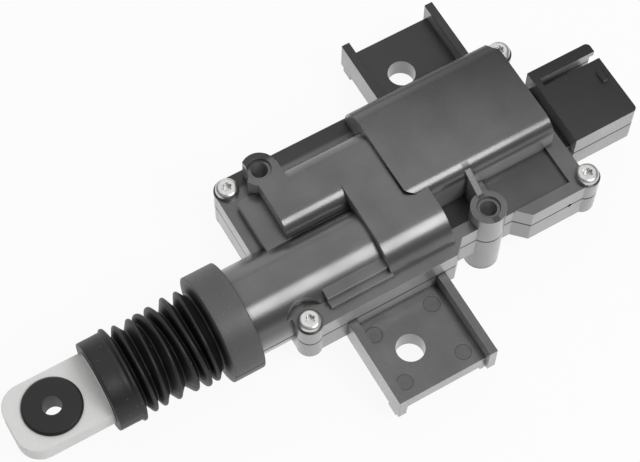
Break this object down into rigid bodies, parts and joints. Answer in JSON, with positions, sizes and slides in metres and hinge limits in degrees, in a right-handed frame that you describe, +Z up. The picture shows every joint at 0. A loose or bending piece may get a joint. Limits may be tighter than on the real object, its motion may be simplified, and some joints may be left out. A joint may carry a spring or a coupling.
{
  "type": "door latch actuator",
  "caption": "Electric door latch actuator: motor-driven plunger rod with a rubber boot in a moulded housing with two mounting ears and a plug connector.",
  "frame": {"origin": "middle between the two mounting holes, in the plane of the ears' seats", "axes": "+X along the plunger's axis toward the connector, +Z up through the cover, the plunger leaves toward -X"},
  "size_m": [0.1665, 0.0884, 0.0285],
  "materials": {
    "black_moulding": "moulded, half gloss",
    "zinc_steel": "zinc plated",
    "boot_rubber": "matt, slightly dusty",
    "bumper_rubber": "matt",
    "grommet_rubber": "matt",
    "shoe_rubber": "matt",
    "sintered_bronze": "sintered, oiled",
    "tinned_brass": "tinned",
    "pinion_brass": "machined",
    "commutator_copper": "turned",
    "copper_wire": "enamelled",
    "washer_plastic": "moulded",
    "nut_plastic": "moulded",
    "wheel_plastic": "moulded",
    "hub_plastic": "moulded",
    "cap_moulding": "moulded",
    "white_nylon": "moulded, half gloss",
    "cutout_case": "dipped",
    "ferrite": "ground",
    "carbon": "pressed",
    "can_steel": "drawn and plated",
    "drum_steel": "turned",
    "screw_steel": "rolled and ground",
    "lamination_steel": "stacked sheets"
  },
  "bodies": {
    "housing": {"upper_housing": "black_moulding", "lower_housing": "black_moulding", "housing_screws": "zinc_steel", "boot": "boot_rubber", "front_bumper": "bumper_rubber", "rear_bumper": "bumper_rubber", "front_bush": "sintered_bronze", "rear_bush": "sintered_bronze", "front_thrust_washer": "washer_plastic", "rear_thrust_washer": "washer_plastic", "outboard_bush": "sintered_bronze", "motor_can": "can_steel", "motor_end_cap": "cap_moulding", "motor_front_bush": "sintered_bronze", "motor_rear_bush": "sintered_bronze", "field_magnets": "ferrite", "motor_brushes": "carbon", "thermal_cutout": "cutout_case", "contact_blades": "tinned_brass"},
    "plunger": {"plunger": "white_nylon", "drive_nut": "nut_plastic", "rod_grommet": "grommet_rubber"},
    "jackscrew": {"jackscrew": "screw_steel", "screw_gear": "wheel_plastic"},
    "pinion": {"motor_pinion": "pinion_brass", "clutch_drum": "drum_steel"},
    "armature": {"motor_shaft": "screw_steel", "armature_core": "lamination_steel", "armature_windings": "copper_wire", "commutator": "commutator_copper", "clutch_hub": "hub_plastic", "clutch_shoes": "shoe_rubber"}
  },
  "joints": [
    {"name": "plunger_slide", "type": "slide", "parent": "housing", "child": "plunger", "axis": [-1, 0, 0], "range_m": [-0.007, 0.012], "deforming": ["boot"]},
    {"name": "jackscrew_spin", "type": "hinge", "parent": "housing", "child": "jackscrew", "pos_m": [0, -0.0066, 0.0099], "axis": [1, 0, 0], "range_deg": [-160, 272]},
    {"name": "pinion_spin", "type": "hinge", "parent": "housing", "child": "pinion", "pos_m": [0, 0.0078, 0.0099], "axis": [1, 0, 0], "range_deg": [-815, 480]},
    {"name": "armature_spin", "type": "hinge", "parent": "housing", "child": "armature", "pos_m": [0, 0.0078, 0.0099], "axis": [1, 0, 0], "range_deg": [-815, 480]}
  ],
  "couplings": [
    {"joint": "jackscrew_spin", "follows": "plunger_slide", "rad_per_m": 392.7},
    {"joint": "pinion_spin", "follows": "plunger_slide", "rad_per_m": -1178.1},
    {"joint": "armature_spin", "follows": "plunger_slide", "rad_per_m": -1178.1}
  ]
}
